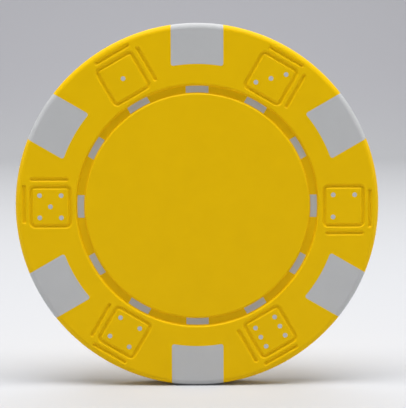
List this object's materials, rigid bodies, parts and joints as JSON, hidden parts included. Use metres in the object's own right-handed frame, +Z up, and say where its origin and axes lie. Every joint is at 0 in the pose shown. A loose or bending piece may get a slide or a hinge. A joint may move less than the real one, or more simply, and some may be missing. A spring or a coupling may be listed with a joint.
{
  "type": "poker chip",
  "caption": "Round two-colour moulded poker chip with white edge spots, debossed die outlines with flush white pips, and a dashed ring channel round a plain centre disc.",
  "frame": {"origin": "centre of the chip: on its axis, halfway through its thickness", "axes": "+Z up with the chip standing on its rim as pictured; the chip's axis lies along Y, its front face looks towards -Y, and +X is to the right seen from the front"},
  "size_m": [0.039, 0.0032, 0.039],
  "materials": {
    "slug_steel": "stamped, plain",
    "white_plastic": "moulded, satin",
    "yellow_plastic": "moulded, satin"
  },
  "bodies": {
    "root": {"steel_slug": "slug_steel", "inlay_core": "white_plastic", "chip_body": "yellow_plastic"}
  },
  "joints": []
}
